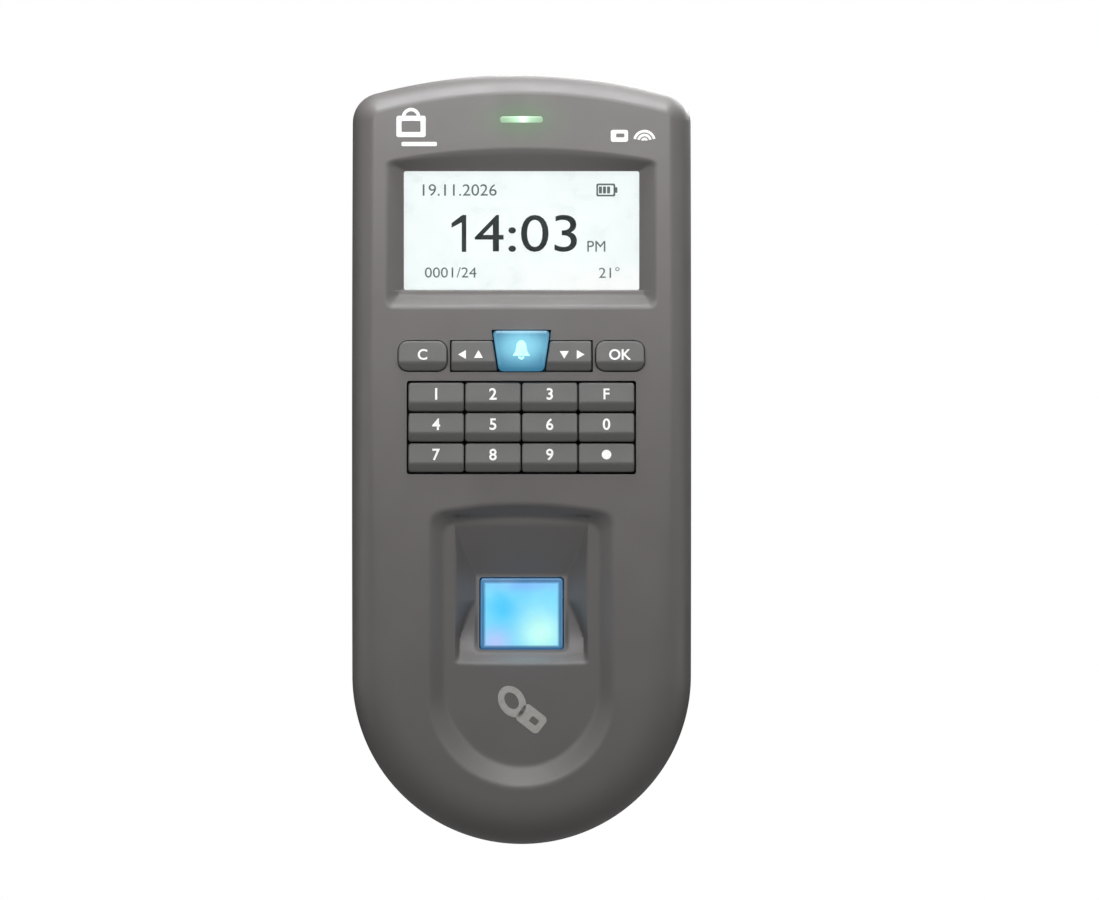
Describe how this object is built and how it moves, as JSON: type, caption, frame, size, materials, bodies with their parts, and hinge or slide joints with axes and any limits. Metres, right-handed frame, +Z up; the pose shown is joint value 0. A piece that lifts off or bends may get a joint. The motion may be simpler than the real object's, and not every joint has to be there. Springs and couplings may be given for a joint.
{
  "type": "fingerprint scanner terminal",
  "caption": "Wall-mounted access terminal with a curved grey case, a lit display, number and function keys, a dished fingerprint sensor, a card reader coil and a steel wall plate.",
  "frame": {"origin": "on the wall, at the centre of the wall plate's four corner screws, level with the middle of the case's height", "axes": "+X to the right of someone facing the terminal, +Y into the wall, +Z up; the wall is the plane y = 0 and the terminal reaches towards -Y"},
  "size_m": [0.079, 0.0396, 0.18],
  "materials": {
    "front_plastic": "fine satin texture, warm dark grey",
    "rear_plastic": "fine matte texture, near black",
    "seal_rubber": "soft matte",
    "screw_steel": "zinc plated",
    "plate_steel": "galvanised sheet",
    "frame_steel": "pressed tinned steel",
    "clear_window": "clear and glossy",
    "lcd_glass": "lit pale display",
    "diffuser": "white diffuser",
    "ribbon_film": "amber film over copper",
    "light_guide": "clear, lit green",
    "led_body": "small lamp body",
    "mat_silicone": "matte silicone",
    "circuit_board": "green solder mask",
    "contact_gold": "gold plated",
    "key_plastic": "satin grey, white legends",
    "bell_plastic": "see-through blue, lit",
    "sensor_window": "clear glass, lit blue",
    "black_plastic": "moulded black",
    "coil_copper": "bare copper track",
    "socket_plastic": "off-white moulding",
    "capacitor_sleeve": "dark blue sleeve",
    "cell_steel": "nickel plated",
    "terminal_plastic": "green moulding",
    "relay_plastic": "blue moulding",
    "plunger_plastic": "white moulding",
    "spring_steel": "drawn wire"
  },
  "bodies": {
    "wall_plate": {"wall_plate": "plate_steel"},
    "terminal": {"front_cover": "front_plastic", "rear_cover": "rear_plastic", "case_seal": "seal_rubber", "case_screws": "screw_steel", "retaining_screw": "screw_steel", "display_window": "clear_window", "lcd_panel": "lcd_glass", "lcd_frame": "frame_steel", "lcd_backlight": "diffuser", "display_ribbon": "ribbon_film", "light_pipe": "light_guide", "status_led": "led_body", "keypad_mat": "mat_silicone", "keypad_board": "circuit_board", "key_contacts": "contact_gold", "bell_leds": "led_body", "keypad_ribbon": "ribbon_film", "sensor_glass": "sensor_window", "sensor_gasket": "seal_rubber", "sensor_housing": "black_plastic", "sensor_camera": "black_plastic", "sensor_leds": "led_body", "sensor_board": "circuit_board", "sensor_ribbon": "ribbon_film", "small_screws": "screw_steel", "antenna_coil": "coil_copper", "antenna_board": "circuit_board", "main_board": "circuit_board", "board_screws": "screw_steel", "board_chips": "black_plastic", "ribbon_sockets": "socket_plastic", "capacitors": "capacitor_sleeve", "backup_battery": "cell_steel", "battery_holder": "black_plastic", "terminal_blocks": "terminal_plastic", "network_socket": "frame_steel", "usb_socket": "frame_steel", "door_relay": "relay_plastic", "speaker": "black_plastic", "tamper_spring": "spring_steel", "tamper_switch": "black_plastic"},
    "key_1": {"key_1": "key_plastic"},
    "key_2": {"key_2": "key_plastic"},
    "key_3": {"key_3": "key_plastic"},
    "key_function": {"key_function": "key_plastic"},
    "key_4": {"key_4": "key_plastic"},
    "key_5": {"key_5": "key_plastic"},
    "key_6": {"key_6": "key_plastic"},
    "key_0": {"key_0": "key_plastic"},
    "key_7": {"key_7": "key_plastic"},
    "key_8": {"key_8": "key_plastic"},
    "key_9": {"key_9": "key_plastic"},
    "key_dot": {"key_dot": "key_plastic"},
    "key_clear": {"key_clear": "key_plastic"},
    "key_left": {"key_left": "key_plastic"},
    "key_bell": {"key_bell": "bell_plastic"},
    "key_right": {"key_right": "key_plastic"},
    "key_ok": {"key_ok": "key_plastic"},
    "tamper_plunger": {"tamper_plunger": "plunger_plastic"}
  },
  "joints": [
    {"name": "terminal_lift", "type": "slide", "parent": "wall_plate", "child": "terminal", "axis": [0, 0, 1], "range_m": [0, 0.0055]},
    {"name": "key_1_press", "type": "slide", "parent": "terminal", "child": "key_1", "axis": [0, 1, 0], "range_m": [0, 0.0008], "stiffness_N_per_m": 800, "springref_m": -0.0004},
    {"name": "key_2_press", "type": "slide", "parent": "terminal", "child": "key_2", "axis": [0, 1, 0], "range_m": [0, 0.0008], "stiffness_N_per_m": 800, "springref_m": -0.0004},
    {"name": "key_3_press", "type": "slide", "parent": "terminal", "child": "key_3", "axis": [0, 1, 0], "range_m": [0, 0.0008], "stiffness_N_per_m": 800, "springref_m": -0.0004},
    {"name": "key_function_press", "type": "slide", "parent": "terminal", "child": "key_function", "axis": [0, 1, 0], "range_m": [0, 0.0008], "stiffness_N_per_m": 800, "springref_m": -0.0004},
    {"name": "key_4_press", "type": "slide", "parent": "terminal", "child": "key_4", "axis": [0, 1, 0], "range_m": [0, 0.0008], "stiffness_N_per_m": 800, "springref_m": -0.0004},
    {"name": "key_5_press", "type": "slide", "parent": "terminal", "child": "key_5", "axis": [0, 1, 0], "range_m": [0, 0.0008], "stiffness_N_per_m": 800, "springref_m": -0.0004},
    {"name": "key_6_press", "type": "slide", "parent": "terminal", "child": "key_6", "axis": [0, 1, 0], "range_m": [0, 0.0008], "stiffness_N_per_m": 800, "springref_m": -0.0004},
    {"name": "key_0_press", "type": "slide", "parent": "terminal", "child": "key_0", "axis": [0, 1, 0], "range_m": [0, 0.0008], "stiffness_N_per_m": 800, "springref_m": -0.0004},
    {"name": "key_7_press", "type": "slide", "parent": "terminal", "child": "key_7", "axis": [0, 1, 0], "range_m": [0, 0.0008], "stiffness_N_per_m": 800, "springref_m": -0.0004},
    {"name": "key_8_press", "type": "slide", "parent": "terminal", "child": "key_8", "axis": [0, 1, 0], "range_m": [0, 0.0008], "stiffness_N_per_m": 800, "springref_m": -0.0004},
    {"name": "key_9_press", "type": "slide", "parent": "terminal", "child": "key_9", "axis": [0, 1, 0], "range_m": [0, 0.0008], "stiffness_N_per_m": 800, "springref_m": -0.0004},
    {"name": "key_dot_press", "type": "slide", "parent": "terminal", "child": "key_dot", "axis": [0, 1, 0], "range_m": [0, 0.0008], "stiffness_N_per_m": 800, "springref_m": -0.0004},
    {"name": "key_clear_press", "type": "slide", "parent": "terminal", "child": "key_clear", "axis": [0, 1, 0], "range_m": [0, 0.0008], "stiffness_N_per_m": 800, "springref_m": -0.0004},
    {"name": "key_left_press", "type": "slide", "parent": "terminal", "child": "key_left", "axis": [0, 1, 0], "range_m": [0, 0.0008], "stiffness_N_per_m": 800, "springref_m": -0.0004},
    {"name": "key_bell_press", "type": "slide", "parent": "terminal", "child": "key_bell", "axis": [0, 1, 0], "range_m": [0, 0.0008], "stiffness_N_per_m": 800, "springref_m": -0.0004},
    {"name": "key_right_press", "type": "slide", "parent": "terminal", "child": "key_right", "axis": [0, 1, 0], "range_m": [0, 0.0008], "stiffness_N_per_m": 800, "springref_m": -0.0004},
    {"name": "key_ok_press", "type": "slide", "parent": "terminal", "child": "key_ok", "axis": [0, 1, 0], "range_m": [0, 0.0008], "stiffness_N_per_m": 800, "springref_m": -0.0004},
    {"name": "tamper_press", "type": "slide", "parent": "terminal", "child": "tamper_plunger", "axis": [0, -1, 0], "range_m": [0, 0.0008], "stiffness_N_per_m": 300, "springref_m": -0.0004, "deforming": ["tamper_spring"]}
  ]
}
